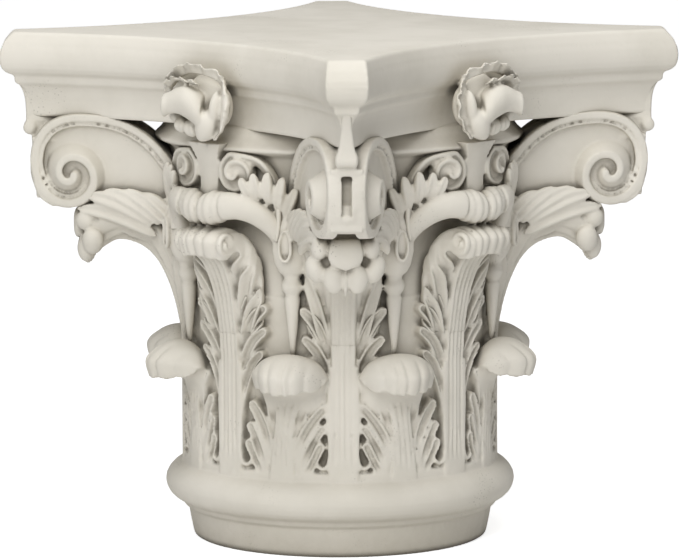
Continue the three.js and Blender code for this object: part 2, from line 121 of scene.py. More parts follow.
# ---------------------------------------------------------------- closed shells
def place_points(bm, points):
    for vert, point in zip(bm.verts, (points * MM).tolist()):
        vert.co = point


def rod(around, along, shape):
    """Closed bar. Each ring is placed by shape(turn, share): turn from 0 to 1 round it, share from 0
    to 1 along it."""
    bm = bmesh.new()
    bmesh.ops.create_cone(bm, cap_ends=True, segments=around, radius1=1, radius2=1, depth=1)
    rails = [e for e in bm.edges if abs(e.verts[0].co.z - e.verts[1].co.z) > 0.5]
    if along > 1:
        bmesh.ops.subdivide_edges(bm, edges=rails, cuts=along - 1)
    co = np.array([v.co[:] for v in bm.verts])
    angle = np.arctan2(co[:, 1], co[:, 0])
    turn = np.round((angle - angle[0]) / (2 * np.pi) * around) % around / around
    place_points(bm, shape(turn, np.clip(co[:, 2] + 0.5, 0, 1)))
    caps = [f for f in bm.faces if len(f.verts) > 4]
    bmesh.ops.triangulate(bm, faces=caps)
    return bm


def sheet(across, along, shape):
    """Closed slab. Each point is placed by shape(x, y, front): x from -1 to 1 across it, y from 0 to
    1 along it, and front is true on its front face."""
    around = 2 * (across + 1)

    def wrapped(turn, share):
        step = np.round(turn * around) % around
        front = step <= across
        x = np.where(front, step, 2 * across + 1 - step) / across
        return shape(2 * x - 1, share, front)

    return rod(around, along, wrapped)


def ball(shape, around=24, rings=16):
    """Closed ball, placed by shape(x, y, z) of a unit sphere."""
    bm = bmesh.new()
    bmesh.ops.create_uvsphere(bm, u_segments=around, v_segments=rings, radius=1)
    co = np.array([v.co[:] for v in bm.verts])
    place_points(bm, shape(co[:, 0], co[:, 1], co[:, 2]))
    return bm


class Casting:
    """All the closed shells of the capital, gathered in one mesh."""

    def __init__(self, name, voxel):
        self.name = name
        self.voxel = voxel
        self.bm = bmesh.new()

    def add(self, piece, quarters=(0, 1, 2, 3), mirrored=False):
        """Adds a shell at each quarter turn, and its mirror image across the nearest horn."""
        scratch = bpy.data.meshes.new("scratch")
        bmesh.ops.recalc_face_normals(piece, faces=piece.faces)
        piece.to_mesh(scratch)
        piece.free()
        swap = Matrix(((0, 1, 0, 0), (1, 0, 0, 0), (0, 0, 1, 0), (0, 0, 0, 1)))
        images = [Matrix.Rotation(q * math.pi / 2, 4, "Z") for q in quarters]
        if mirrored:
            images += [image @ swap for image in images]
        for image in images:
            copy = scratch.copy()
            copy.transform(image)
            if image.determinant() < 0:
                copy.flip_normals()
            self.bm.from_mesh(copy)
            bpy.data.meshes.remove(copy)
        bpy.data.meshes.remove(scratch)


bell = Casting("leafy_bell", 1.6)
leaves = Casting("upper_leaves", 1.5)
crown = Casting("volutes_and_helices", 1.5)
top = Casting("abacus_and_flowers", 1.8)

# ---------------------------------------------------------------- base and bell
def lathe():
    rows = len(BASE_PROFILE) - 1
    table = np.array(BASE_PROFILE)

    def shape(turn, share):
        i = np.round(share * rows).astype(int)
        out, up = table[i, 0], table[i, 1]
        return polar(turn * 360, out, up)

    return rod(LATHE_STEPS, rows, shape)


bell.add(lathe(), quarters=(0,))

# ---------------------------------------------------------------- abacus
SIDE_END = ((HORN_OUT + HORN_HALF_WIDTH) / math.sqrt(2), (HORN_OUT - HORN_HALF_WIDTH) / math.sqrt(2))
SAGITTA = SIDE_END[0] - SIDE_MIDDLE
SIDE_RADIUS = (SAGITTA ** 2 + SIDE_END[1] ** 2) / (2 * SAGITTA)
ARC_CENTRE = SIDE_MIDDLE + SIDE_RADIUS


def abacus_plan(horn_offset, side_offset):
    """Points of the plan at one level: four hollow sides joined by flat horn ends."""
    horn = HORN_OUT + horn_offset
    radius = SIDE_RADIUS - side_offset
    rest = horn ** 2 - math.sqrt(2) * ARC_CENTRE * horn + ARC_CENTRE ** 2 - radius ** 2
    half = (math.sqrt(2) * ARC_CENTRE - math.sqrt(2 * ARC_CENTRE ** 2 - 4 * rest)) / 2
    spread = math.asin((horn - half) / math.sqrt(2) / radius)
    swing = spread * np.linspace(-1, 1, SIDE_STEPS + 1)
    sides = [polar(90 * q, ARC_CENTRE - radius * np.cos(swing), 0.0, radius * np.sin(swing))
             for q in range(4)]
    return np.concatenate(sides)


def abacus():
    plans = np.array([abacus_plan(horn, side) for _, horn, side in ABACUS_SECTION])
    plans[:, :, 2] = np.array([up for up, _, _ in ABACUS_SECTION])[:, None]
    levels, around = plans.shape[0], plans.shape[1]

    def shape(turn, share):
        level = np.round((1 - share) * (levels - 1)).astype(int)
        return plans[level, np.round(turn * around).astype(int) % around]

    return rod(around, levels - 1, shape)


top.add(abacus(), quarters=(0,))

# ---------------------------------------------------------------- leaf relief
def plume(u, v, spine):
    """How far a point lies from a stroke, in its half widths, and the share of its length there."""
    path = through(spine, np.linspace(0, 1, 22))
    near = np.full(u.shape, 9.0)
    place = np.zeros(u.shape)
    for n, (a, b) in enumerate(zip(path[:-1], path[1:])):
        du, dv = b[0] - a[0], b[1] - a[1]
        t = np.clip(((u - a[0]) * du + (v - a[1]) * dv) / (du * du + dv * dv), 0, 1)
        distance = np.hypot(u - a[0] - t * du, v - a[1] - t * dv) / mix(a[2], b[2], t)
        place = np.where(distance < near, (n + t) / (len(path) - 1), place)
        near = np.minimum(near, distance)
    return near, place


def fingers(height, u, v, spines, top, cup):
    """Lays feathered fingers over a surface: hollow, with raised rims, a crease, a rounded end and a
    dark line round each."""
    for spine in spines:
        near, place = plume(u, v, spine)
        shoulder = smooth(0.12, 0.4, place)
        body = 1 - smooth(0.84, 1.08, near)
        hollow = cup * (1 - smooth(0.2, 0.8, near)) * shoulder
        crease = 1.3 * np.exp(-(near / 0.24) ** 2) * (1 - smooth(0.75, 1.0, place)) * shoulder
        own = top + 2.0 * smooth(0.35, 1.0, place) - hollow - crease
        line = 4.4 * np.exp(-((near - 1.14) / 0.18) ** 2) * shoulder
        height = mix(np.maximum(height - line, 0), np.maximum(own, height * (near > 1)), body)
    return height


def ribs(height, u, half, count, top, deep):
    """Lays a bundle of parallel ribs over a surface."""
    t = u / half
    body = 1 - smooth(0.93, 1.05, np.abs(t))
    wave = np.abs(np.cos(0.5 * np.pi * count * t)) if count % 2 == 0 else np.abs(np.sin(0.5 * np.pi * (count * t + 1)))
    own = top - deep * (1 - wave) ** 1.2
    line = 3.6 * np.exp(-((np.abs(t) - 1.08) / 0.07) ** 2)
    return mix(np.maximum(height - line, 0), own, body)


LOW_BASE = 22.5
LOW_LEAN = 3.7
LOW_FINGERS = [
    [(20, 78, 5), (28, 90, 5), (34, 102, 5), (38, 111, 5.4)],
    [(17, 84, 5), (25, 103, 5), (32, 118, 5), (38, 129, 5)],
    [(14, 92, 5), (19, 118, 6), (29, 138, 6.4), (38, 150, 5.6)],
    [(12, 102, 5), (14, 138, 6.5), (21, 162, 7.5), (32, 176, 7)],
]
HORN_FINGERS = [
    [(11, 120, 5), (16, 160, 5.5), (25, 184, 6), (34, 196, 5)],
    [(11, 150, 5), (17, 184, 6), (27, 206, 6.5), (37, 217, 5)],
    [(11, 172, 5), (17, 208, 6.5), (27, 232, 7), (38, 245, 5.5)],
    [(12, 196, 5), (18, 232, 7), (27, 257, 7.5), (37, 271, 6)],
    [(12, 222, 6), (18, 254, 7.5), (26, 280, 8), (34, 296, 6.5)],
]
SIDE_FINGERS = [
    [(11, 125, 5), (16, 162, 5.5), (27, 188, 6), (38, 200, 5)],
    [(11, 152, 5), (17, 190, 6), (29, 212, 6.5), (42, 223, 5)],
    [(11, 172, 5), (18, 210, 7), (30, 234, 7), (43, 246, 5.5)],
    [(12, 194, 5), (19, 232, 7.5), (31, 257, 8), (43, 269, 6)],
    [(13, 216, 6), (20, 254, 8.5), (32, 277, 9), (42, 289, 7)],
]
# Cord that runs down beside a stem, round the foot of a pocket and up into the low leaf
POCKET_CORD = [(14.5, 190, 1.8), (14.5, 130, 1.8), (14, 104, 1.9), (16, 93, 2.0), (20.5, 89.5, 2.1), (25.5, 92.5, 2.1)]


def low_leaf(u, v):
    half = mix(13.5, 10.5, smooth(80, 112, v)) + 13 * smooth(138, 176, v)
    leaf = fingers(np.zeros(u.shape), np.abs(u), v, LOW_FINGERS[::-1], 9.0, 4.4)
    return ribs(leaf, u, half, 4, 11.0, 4.6 * smooth(84, 108, v))


def tall_leaf(u, v, spines, fan):
    half = mix(15.5, 13.0, smooth(90, 130, v)) + fan * smooth(225, 300, v)
    leaf = fingers(np.zeros(u.shape), np.abs(u), v, spines[::-1], 9.2, 4.6)
    leaf = ribs(leaf, u, half, 5, 11.0, 4.6 * smooth(88, 112, v))
    near, _ = plume(np.abs(u), v, POCKET_CORD)
    return np.maximum(leaf, 10.8 * (1 - smooth(0.7, 1.4, near)))


def ground_out(v):
    return 147.5 + 1.5 * smooth(190, 215, v) + 3 * smooth(225, 262, v)


def blades():
    """Both tiers of leaves as relief on the bell."""
    around, rows = 800, 128
    low, high = 70.0, 258.0

    def shape(turn, share):
        azimuth = turn * 360
        from_horn = np.abs((azimuth - 45 + 45) % 90 - 45)
        v = mix(low, high, share)
        lean = LOW_LEAN * smooth(95, 200, v)
        u_low = (from_horn - LOW_BASE + lean) * DEGREE
        relief = low_leaf(u_low, v) * (1 - smooth(176, 184, v))
        u_horn = from_horn * DEGREE
        u_side = (45 - from_horn) * DEGREE
        relief = np.maximum(relief, tall_leaf(u_horn, v, HORN_FINGERS, 3))
        relief = np.maximum(relief, tall_leaf(u_side, v, SIDE_FINGERS, 5))
        skirt = 9.4 * (1 - smooth(83, 90, v))
        relief = np.maximum(relief, skirt)
        return polar(azimuth, ground_out(v) + relief, v)

    return rod(around, rows, shape)


bell.add(blades(), quarters=(0,))


# ---------------------------------------------------------------- curled leaf tips
def across_profile(table, share):
    """Point of a profile in out and up, and the direction square to it."""
    point = through(table, share)
    ahead = through(table, np.minimum(share + 0.01, 1)) - through(table, np.maximum(share - 0.01, 0))
    length = np.maximum(np.linalg.norm(ahead, axis=-1, keepdims=True), 1e-6)
    ahead = ahead / length
    square = np.stack([ahead[..., 1], -ahead[..., 0]], axis=-1)
    return point, ahead, square


def scallops(x, count):
    """Rounded lobes across a leaf: 1 along the middle of each, 0 in the pleats between."""
    phase = (x + 1) / 2 * count
    return np.sqrt(np.clip(1 - (2 * (phase - np.floor(phase)) - 1) ** 2, 0, 1))


LOW_UNDER = [(150, 136), (157, 152), (161, 162), (169, 169), (180, 171), (189, 169), (195, 166)]
LOW_OVER = [(146, 158), (149, 188), (158, 202), (175, 204), (192, 197.5), (204, 185), (200, 166.5)]
LOW_WIDTH = [(31,), (34,), (37,), (39,), (39.5,), (38,), (36,)]
LOBES = 6


def pleats(x, count, seed):
    """Rounded lobes of uneven width across a leaf, and a finer crease within each."""
    uneven = x + 0.07 * np.sin(4.1 * x + seed) + 0.03 * np.sin(9.7 * x + 2 * seed)
    lobes = scallops(uneven, count)
    return np.minimum(lobes ** 0.8, 1 - 0.10 * (1 - scallops(uneven, 2 * count)))


def low_curl():
    def shape(x, y, front):
        point, ahead, square = across_profile(LOW_UNDER, y)
        over, over_ahead, over_square = across_profile(LOW_OVER, y)
        bump = pleats(x, LOBES, 1.0)
        fade = smooth(0.50, 0.80, y)
        under_point = point + square * (2.0 * (bump - 1) * fade)[..., None]
        over_point = over - over_square * (7.0 * (bump - 1) * fade)[..., None]
        under_point += ahead * (5 * (bump - 1) * smooth(0.75, 1, y))[..., None]
        over_point += over_ahead * (5 * (bump - 1) * smooth(0.8, 1, y))[..., None]
        middle = (under_point + over_point) / 2
        point = np.where(front[..., None], under_point, over_point)
        point = mix(point, middle, (np.abs(x) ** 8 * 0.6)[..., None])
        out, up = point[..., 0], point[..., 1]
        half = through(LOW_WIDTH, y)[..., 0]
        out = out - 0.66 * np.abs(x) ** 2.2 * np.maximum(out - 156, 0)
        crest = np.where(front, -4.0 * smooth(0.2, 1, y), smooth(0.1, 0.35, y) * (13 - 17 * smooth(0.5, 1, y)))
        up = up - crest * x ** 2
        azimuth = 45 + LOW_BASE - LOW_LEAN + np.degrees(x * half / np.maximum(out, 165))
        return polar(azimuth, out, up)

    return sheet(96, 52, shape)


bell.add(low_curl(), mirrored=True)

SIDE_UNDER = [(158, 218), (161.5, 240), (166, 262), (174, 283), (182, 295), (190, 300.5), (198, 299)]
SIDE_OVER = [(148, 226), (152, 258), (157, 292), (168, 320), (187, 329), (207, 318), (203, 299)]
SIDE_WIDTH = [(40,), (43,), (44,), (41,), (35,), (32,), (29,)]


def side_curl():
    def shape(x, y, front):
        point, ahead, square = across_profile(SIDE_UNDER, y)
        over, over_ahead, over_square = across_profile(SIDE_OVER, y)
        bump = pleats(x, 6, 2.0)
        half = through(SIDE_WIDTH, y)[..., 0]
        relief = tall_leaf(x * half, mix(218, 318, y), SIDE_FINGERS, 5) - 8.8
        under_point = point + square * (np.maximum(relief, -6) * (1 - smooth(0.75, 0.95, y)))[..., None]
        fade = smooth(0.42, 0.62, y)
        over_point = over - over_square * (5.5 * (bump - 1) * fade)[..., None]
        over_point += over_ahead * (4 * (bump - 1) * smooth(0.85, 1, y))[..., None]
        middle = (under_point + over_point) / 2
        point = np.where(front[..., None], under_point, over_point)
        point = mix(point, middle, (np.abs(x) ** 8 * 0.5)[..., None])
        out, up = point[..., 0], point[..., 1]
        out = out - smooth(0.4, 0.7, y) * 9 * x ** 4
        up = up - smooth(0.3, 0.6, y) * 4 * x ** 2
        return polar(np.degrees(x * half / np.maximum(out, 160)), out, up)

    return sheet(96, 72, shape)


leaves.add(side_curl())


def curl_eye(hand):
    """Spiral edge at the end of a rolled leaf tip."""
    def shape(turn, share):
        a = share * 3.4 * np.pi
        reach = mix(13.5, 3.0, share)
        b = turn * 2 * np.pi
        thick = mix(3.2, 1.8, share)
        thick = np.where((share == 0) | (share == 1), 0.5, thick)
        out = 190 + (reach + thick * np.cos(b)) * np.cos(a + 2.4)
        up = 313 + (reach + thick * np.cos(b)) * np.sin(a + 2.4)
        return polar(0, out, up, hand * (28 + 3.5 * np.sin(b) + 2 * share))

    return rod(12, 60, shape)


for hand in (-1, 1):
    leaves.add(curl_eye(hand))

HORN_UNDER = [
    (158, 212), (163, 236), (171, 260), (181, 279), (193, 291.5), (208, 298), (222, 298),
    (232, 293), (239, 288), (244, 285),
]
HORN_OVER = [
    (148, 220), (152, 252), (158, 285), (169, 312), (186, 329), (206, 338), (224, 340),
    (240, 336), (250, 326), (250, 296),
]
HORN_WIDTH = [(38,), (39,), (39,), (39,), (40,), (40,), (38,), (35,), (31,), (25,)]


def horn_leaf():
    def shape(x, y, front):
        point, ahead, square = across_profile(HORN_UNDER, y)
        over, over_ahead, over_square = across_profile(HORN_OVER, y)
        half = through(HORN_WIDTH, y)[..., 0]
        relief = tall_leaf(x * half, mix(212, 345, y), HORN_FINGERS, 3) - 8.8
        under_point = point + square * (np.maximum(relief, -6) * (1 - smooth(0.5, 0.7, y)))[..., None]
        flutes = 4.6 * (scallops(np.abs(x) ** 0.9 * np.sign(x), 8) - 1) * smooth(0.38, 0.6, y)
        curve = (np.abs(x) ** 2.6)[..., None]
        middle = mix(under_point, over, 0.62)
        lower = mix(under_point, middle, curve)
        lower = lower + square * (flutes * (1 - 0.3 * np.abs(x)))[..., None]
        point = np.where(front[..., None], lower, mix(over, middle, curve ** 2))
        out, up = point[..., 0], point[..., 1]
        width = half * (1 + 0.04 * flutes / 4.6)
        return polar(45 + np.degrees(x * width / np.maximum(out, 160)), out, up)

    return sheet(112, 90, shape)


leaves.add(horn_leaf())


def spray(start, end, side, wide, thick, bow=0.0):
    """Hollow finger of a leaf lying along the side of a horn, from out and up to out and up."""
    ahead = np.array(end) - np.array(start)
    length = np.linalg.norm(ahead)
    ahead = ahead / length
    square = np.array([-ahead[1], ahead[0]])

    def shape(x, y, z):
        run = length * (0.5 + 0.5 * x)
        rise = wide * y + bow * (1 - x * x)
        out = start[0] + ahead[0] * run + square[0] * rise
        up = start[1] + ahead[1] * run + square[1] * rise
        trough = 0.55 * thick * np.exp(-(y / 0.45) ** 2) * (z > 0)
        reach = mix(side[0], side[1], 0.5 + 0.5 * x) + thick * z - trough
        return polar(45, out, up, reach)

    return ball(shape, 28, 20)


SPRAYS = [
    ((160, 318), (196, 350), (52, 47), 7, 7, 3),
    ((168, 316), (215, 353), (50, 43), 7.5, 7, 4),
    ((178, 318), (234, 352), (48, 38), 8, 7, 5),
    ((186, 318), (254, 347), (46, 33), 8.5, 7.5, 6),
    ((182, 306), (262, 333), (44, 29), 8.5, 8, 7),
]
for start, end, side, wide, thick, bow in SPRAYS:
    leaves.add(spray(start, end, side, wide, thick, bow), mirrored=True)


def lobe(azimuth, out, up, side, size, lean=0.0):
    """Rounded lobe at the tip of a horn leaf; size is its reach out, sideways and up."""
    c, s = math.cos(math.radians(lean)), math.sin(math.radians(lean))

    def shape(x, y, z):
        across, tall = size[1] * y, size[2] * z
        return polar(azimuth, out + size[0] * x, up + tall * c - across * s, side + across * c + tall * s)

    return ball(shape)


for hand in (-1, 1):
    leaves.add(lobe(45, 253, 291, hand * 11.5, (9, 10.5, 14), hand * 6))
    leaves.add(lobe(45, 246, 300, hand * 28, (11, 10, 14), hand * 20))
    leaves.add(lobe(45, 252, 321, hand * 24, (11, 9, 11), hand * -10))
leaves.add(lobe(45, 252, 288, 0, (9, 2.6, 14)))


def plate():
    def shape(x, y, front):
        up = mix(330, 300 + 5 * np.abs(x), y)
        half = mix(14, 16.5, smooth(0, 0.5, y)) * (1 - 0.15 * smooth(0.7, 1, y))
        out = np.where(front, 265.5 - 3 * np.abs(x) ** 4 - 3 * (2 * y - 1) ** 4, 240)
        return polar(45, out, up, x * half)

    return sheet(20, 24, shape)


leaves.add(plate())


# ---------------------------------------------------------------- volutes
EYE = (268.0, 366.0)
ARM_EDGE = [(150, 336), (153, 353), (158, 369), (167, 384), (179.6, 399), (194, 411), (213, 421), (240, 427)]
QUARTER_REACH = [60.5, 38.5, 32.5, 27, 21.5, 14, 9.5, 7]
VOLUTE_FRONT = 305.0
VOLUTE_FRONT_HALF = 18.0
VOLUTE_SPLAY = 0.25


def evenly(points, count):
    """Points spaced evenly along a smooth curve through a few."""
    dense = through(points, np.linspace(0, 1, 1200))
    run = np.concatenate([[0], np.cumsum(np.linalg.norm(np.diff(dense, axis=0), axis=1))])
    steps = np.linspace(0, run[-1], count)
    return np.stack([np.interp(steps, run, dense[:, k]) for k in range(dense.shape[1])], axis=1)


def coil(arm, eye, reaches, turn_step=22.5):
    """Outer edge of an arm and its spiral, in out and up."""
    quarters = np.arange(len(reaches))
    last = 90 * (len(reaches) - 1)
    points = [tuple(p) for p in arm]
    for degrees in np.arange(0, last + 1, turn_step):
        reach = through(np.array(reaches)[:, None], np.array(degrees / last))[0]
        a = math.radians(degrees)
        points.append((eye[0] + reach * math.sin(a), eye[1] + reach * math.cos(a)))
    return points


def inward(path):
    """Directions square to a path, towards the side that its spiral turns to."""
    ahead = np.gradient(path, axis=0)
    ahead /= np.linalg.norm(ahead, axis=1, keepdims=True)
    return np.stack([ahead[:, 1], -ahead[:, 0]], axis=1)


def follow(path, u, v):
    """Distance from a path, less than 0 on its outer side, and the share of its length there."""
    near = np.full(u.shape, 1e3)
    place = np.zeros(u.shape)
    sign = np.ones(u.shape)
    for n, (a, b) in enumerate(zip(path[:-1], path[1:])):
        du, dv = b[0] - a[0], b[1] - a[1]
        t = np.clip(((u - a[0]) * du + (v - a[1]) * dv) / (du * du + dv * dv), 0, 1)
        distance = np.hypot(u - a[0] - t * du, v - a[1] - t * dv)
        closer = distance < near
        place = np.where(closer, (n + t) / (len(path) - 1), place)
        sign = np.where(closer, np.sign((u - a[0]) * dv - (v - a[1]) * du), sign)
        near = np.minimum(near, distance)
    return near * sign, place


VOLUTE_EDGE = evenly(coil(ARM_EDGE, EYE, QUARTER_REACH), 220)
VOLUTE_RIM = 8.6


def volute_half(out):
    return VOLUTE_FRONT_HALF + (VOLUTE_FRONT - out) * VOLUTE_SPLAY


def volute_lift(u, v):
    """How far the face of a volute stands out from its plane."""
    steps = np.linspace(0, 1, len(VOLUTE_EDGE))
    rim = VOLUTE_RIM * (1 - 0.18 * smooth(0.5, 1.0, steps))
    path = VOLUTE_EDGE + inward(VOLUTE_EDGE) * (rim / 2)[:, None]
    offset, place = follow(path, u, v)
    near = np.abs(offset)
    half = np.interp(place, steps, rim) / 2
    proud = 8.0 * smooth(0.60, 0.92, place)
    body = 1 - smooth(half - 0.5, half + 0.7, near)
    bead_path = VOLUTE_EDGE + inward(VOLUTE_EDGE) * (rim + 3.6)[:, None]
    bead_near, _ = follow(bead_path[:165], u, v)
    bead = 1 - smooth(0.7, 2.0, np.abs(bead_near))
    inner = smooth(0.58, 0.68, place)
    outside = np.maximum(0, proud + 8 - 1.6 * np.maximum(near - half, 0)) * (offset < 0)
    floor = -9.0 + inner * np.where(offset < 0, outside, proud + 2.0)
    floor = np.maximum(floor, -9.0 + bead * 7.0)
    return np.maximum(floor, mix(floor, proud, body))


def volute_outline(angle):
    """Reach of the outline from the eye, by its angle."""
    outline = np.concatenate([VOLUTE_EDGE[:118], [(262, 334), (246, 340), (225, 336), (190, 326), (165, 322)]])
    rel = outline - np.array(EYE)
    a = np.arctan2(rel[:, 1], rel[:, 0]) % (2 * np.pi)
    d = np.hypot(rel[:, 0], rel[:, 1])
    order = np.argsort(a)
    return np.interp(angle % (2 * np.pi), a[order], d[order], period=2 * np.pi)


def volute():
    def shape(turn, share):
        angle = turn * 2 * np.pi
        reach = volute_outline(angle)
        spread = np.where(share < 0.9, share / 0.9, (1 - share) / 0.1)
        spread = np.clip(spread, 0.004, 1)
        out = EYE[0] + reach * spread * np.cos(angle)
        up = EYE[1] + reach * spread * np.sin(angle)
        lift = np.where(share < 0.9, volute_lift(out, up), -13)
        return polar(45, out, up, volute_half(out) + lift)

    return rod(280, 100, shape)


crown.add(volute(), mirrored=True)


def volute_core():
    """Body between the two volutes of a horn, a little inside their outline."""
    outline = [(150, 318), (152, 352), (163, 380), (180, 398), (212, 414), (240, 420), (268, 419),
               (287, 408), (297, 388), (299, 366), (296, 350), (288, 340), (270, 338), (240, 344),
               (215, 336), (180, 318)]
    path = evenly(outline + outline[:1], 97)[:-1]

    def shape(turn, share):
        i = np.round(turn * 96).astype(int) % 96
        spread = np.where((share == 0) | (share == 1), 0.02, 1.0)
        out = mix(240, path[i, 0], spread)
        up = mix(370, path[i, 1], spread)
        side = (2 * np.clip((share - 0.1) / 0.8, 0, 1) - 1) * (volute_half(out) - 11)
        return polar(45, out, up, side)

    return rod(96, 8, shape)


crown.add(volute_core())


# Corner under each horn: stem of the abacus, roll, ledge, sunk panel, cross bar with its button
def block(out, up, side, bulge=0.0):
    """Block from ranges of out, up and half side; half side may change from its foot to its head."""
    def shape(x, y, front):
        half = mix(side[0], side[1], y)
        reach = np.where(front, out[1] + bulge * (1 - x ** 2), out[0])
        return polar(45, reach, mix(up[0], up[1], y), x * half)

    return sheet(12, 12, shape)


def roll(out, up, radius, half):
    def shape(turn, share):
        a = turn * 2 * np.pi
        flare = 1 + 0.06 * np.abs(2 * share - 1)
        inner = np.where((share == 0) | (share == 1), 0.45, 1.0) * radius * flare
        return polar(45, out + inner * np.cos(a), up + inner * np.sin(a), half * (2 * share - 1))

    return rod(28, 12, shape)


crown.add(roll(308, 411.5, 6.6, 11))
crown.add(block((280, 306), (396, 420), (9, 7.5)))
crown.add(block((280, 311.5), (418, 428), (8.5, 6.5)))
crown.add(block((270, 305.5), (398.5, 403), (15.5, 15.5), 1.0))
crown.add(block((260, 302.2), (342, 368), (15, 13)))


def corner_rim(hand):
    """Rim edge seen at the front of a horn, from under the ledge to the foot of the volute."""
    path = evenly([(296, 412), (303, 396), (306, 380), (306, 366), (303.5, 352), (297, 341), (286, 334)], 40)

    def shape(x, y, front):
        i = np.round(y * 39).astype(int)
        out = path[i, 0] - np.where(front, 0, 8) - 0.6 * x ** 4
        up = path[i, 1]
        half = volute_half(path[i, 0])
        return polar(45, out, up, hand * (half - 4.6 + 4.4 * x))

    return sheet(10, 39, shape)


for hand in (-1, 1):
    crown.add(corner_rim(hand))


def button():
    def shape(x, y, z):
        return polar(45, 302 + 2.6 * x, 355 + 5.2 * z, 5.2 * y)

    return ball(shape)


crown.add(button())

# Stem of the abacus down to the roll, and the block above it
def horn_stem():
    table = [(311.5, 418, 7.5), (311.5, 428, 7.0), (312.5, 440, 5.4), (315.5, 450, 4.6), (320, 456, 4.4)]

    def shape(x, y, front):
        row = through(table, y)
        out = np.where(front, row[..., 0] + 0.6 - 0.8 * x ** 4, 292)
        return polar(45, out, row[..., 1], x * row[..., 2])

    return sheet(8, 24, shape)


crown.add(horn_stem())

# ---------------------------------------------------------------- helices
HELIX_AZIMUTH = 10.7
HELIX_OUT = 187.0
HELIX_UP = 382.0
HELIX_ARM = [(46, -66), (47.5, -40), (45, -16), (36, 4), (22, 16)]
HELIX_REACH = [20.5, 20, 19.5, 17, 13.5, 10, 7, 5]


def helix_path():
    points = list(HELIX_ARM)
    last = 90 * (len(HELIX_REACH) - 1)
    for degrees in np.arange(12, last + 1, 20.0):
        reach = through(np.array(HELIX_REACH)[:, None], np.array(degrees / last))[0]
        a = math.radians(degrees)
        points.append((-reach * math.sin(a), reach * math.cos(a)))
    return evenly(points, 170)


HELIX_LINE = helix_path()


def helix():
    """Inner spiral on the bell beside the middle of a side, its arm coming up from the stalk."""
    ahead = np.gradient(HELIX_LINE, axis=0)
    ahead /= np.linalg.norm(ahead, axis=1, keepdims=True)
    square = np.stack([-ahead[:, 1], ahead[:, 0]], axis=1)

    def shape(x, y, front):
        i = np.round(y * (len(HELIX_LINE) - 1)).astype(int)
        t = (x + 1) / 2
        width = mix(10.5, 7.5, y)
        u = HELIX_LINE[i, 0] + square[i, 0] * width * t
        v = HELIX_LINE[i, 1] + square[i, 1] * width * t
        groove = np.exp(-((t - 0.50) / 0.06) ** 2) + np.exp(-((t - 0.75) / 0.06) ** 2)
        step = 2.2 * smooth(0.42, 0.5, t) + 2.4 * smooth(0.7, 0.8, t)
        proud = 5 * smooth(0.62, 1.0, y)
        lift = np.where(front, proud - 1.1 * groove - step - 0.5 * np.abs(x) ** 6, -13)
        out = HELIX_OUT - 0.16 * np.maximum(u, 0) + lift
        azimuth = HELIX_AZIMUTH + np.degrees(u / HELIX_OUT)
        return polar(azimuth, out, HELIX_UP + v)

    return sheet(24, 169, shape)


crown.add(helix(), mirrored=True)


def helix_floor():
    def shape(turn, share):
        angle = turn * 2 * np.pi
        spread = np.clip(np.where(share < 0.5, share / 0.5, (1 - share) / 0.5), 0.02, 1)
        u, v = 18 * spread * np.cos(angle), 18 * spread * np.sin(angle)
        lift = np.where(share < 0.5, -4.5 + 5.5 * np.exp(-(spread / 0.42) ** 2), -16)
        return polar(HELIX_AZIMUTH + np.degrees(u / HELIX_OUT), HELIX_OUT + lift, HELIX_UP + v)

    return rod(40, 20, shape)


crown.add(helix_floor(), mirrored=True)

# ---------------------------------------------------------------- stalks and calyx leaves
STALK_AZIMUTH = 26.8
STALK_SECTION = [
    (200, 1.5), (206, 2.6), (230, 5.2), (254, 7.6), (259, 8.0), (261.5, 6.4), (263, 7.4),
    (266.5, 10.2), (271, 11.2), (275.5, 9.8), (278.5, 7.2), (280.5, 8.4), (284, 13), (292, 16.5),
    (306, 18), (322, 16.5), (338, 13), (346, 9),
]


def stalk():
    rows = len(STALK_SECTION) - 1
    table = np.array(STALK_SECTION, dtype=float)

    def shape(turn, share):
        i = np.round(share * rows).astype(int)
        up, size = table[i, 0], table[i, 1]
        a = turn * 2 * np.pi
        petals = 1 + 0.05 * np.cos(6 * a) * smooth(284, 300, up)
        size = size * petals
        out = 158 + 7 * smooth(280, 330, up)
        return polar(STALK_AZIMUTH, out + size * np.cos(a), up, size * np.sin(a))

    return rod(36, rows, shape)


leaves.add(stalk(), mirrored=True)


def bud_ring():
    """Raised lip round the teardrop opening of a bud."""
    def shape(turn, share):
        a = turn * 2 * np.pi
        b = share * 2 * np.pi
        tall = 15 * np.sin(a) * (1 - 0.25 * np.sin(a))
        wide = 5.6 * np.cos(a) * (1 - 0.45 * np.sin(a))
        return polar(STALK_AZIMUTH, 182 + 2.4 * np.sin(b), 316 + tall * (1 + 0.1 * np.cos(b)), wide * (1 + 0.3 * np.cos(b)))

    bm = bmesh.new()
    bmesh.ops.create_circle(bm, segments=10, radius=1)
    bmesh.ops.rotate(bm, verts=bm.verts, matrix=Matrix.Rotation(math.pi / 2, 3, "X"))
    bmesh.ops.translate(bm, verts=bm.verts, vec=(4, 0, 0))
    bmesh.ops.spin(bm, geom=bm.verts[:] + bm.edges[:], cent=(0, 0, 0), axis=(0, 0, 1), angle=2 * math.pi,
                   steps=36, use_merge=True)
    bmesh.ops.remove_doubles(bm, verts=bm.verts, dist=1e-4)
    co = np.array([v.co[:] for v in bm.verts])
    a = np.arctan2(co[:, 1], co[:, 0])
    b = np.arctan2(co[:, 2], np.hypot(co[:, 0], co[:, 1]) - 4)
    place_points(bm, shape(a / (2 * np.pi), b / (2 * np.pi)))
    return bm


leaves.add(bud_ring(), mirrored=True)

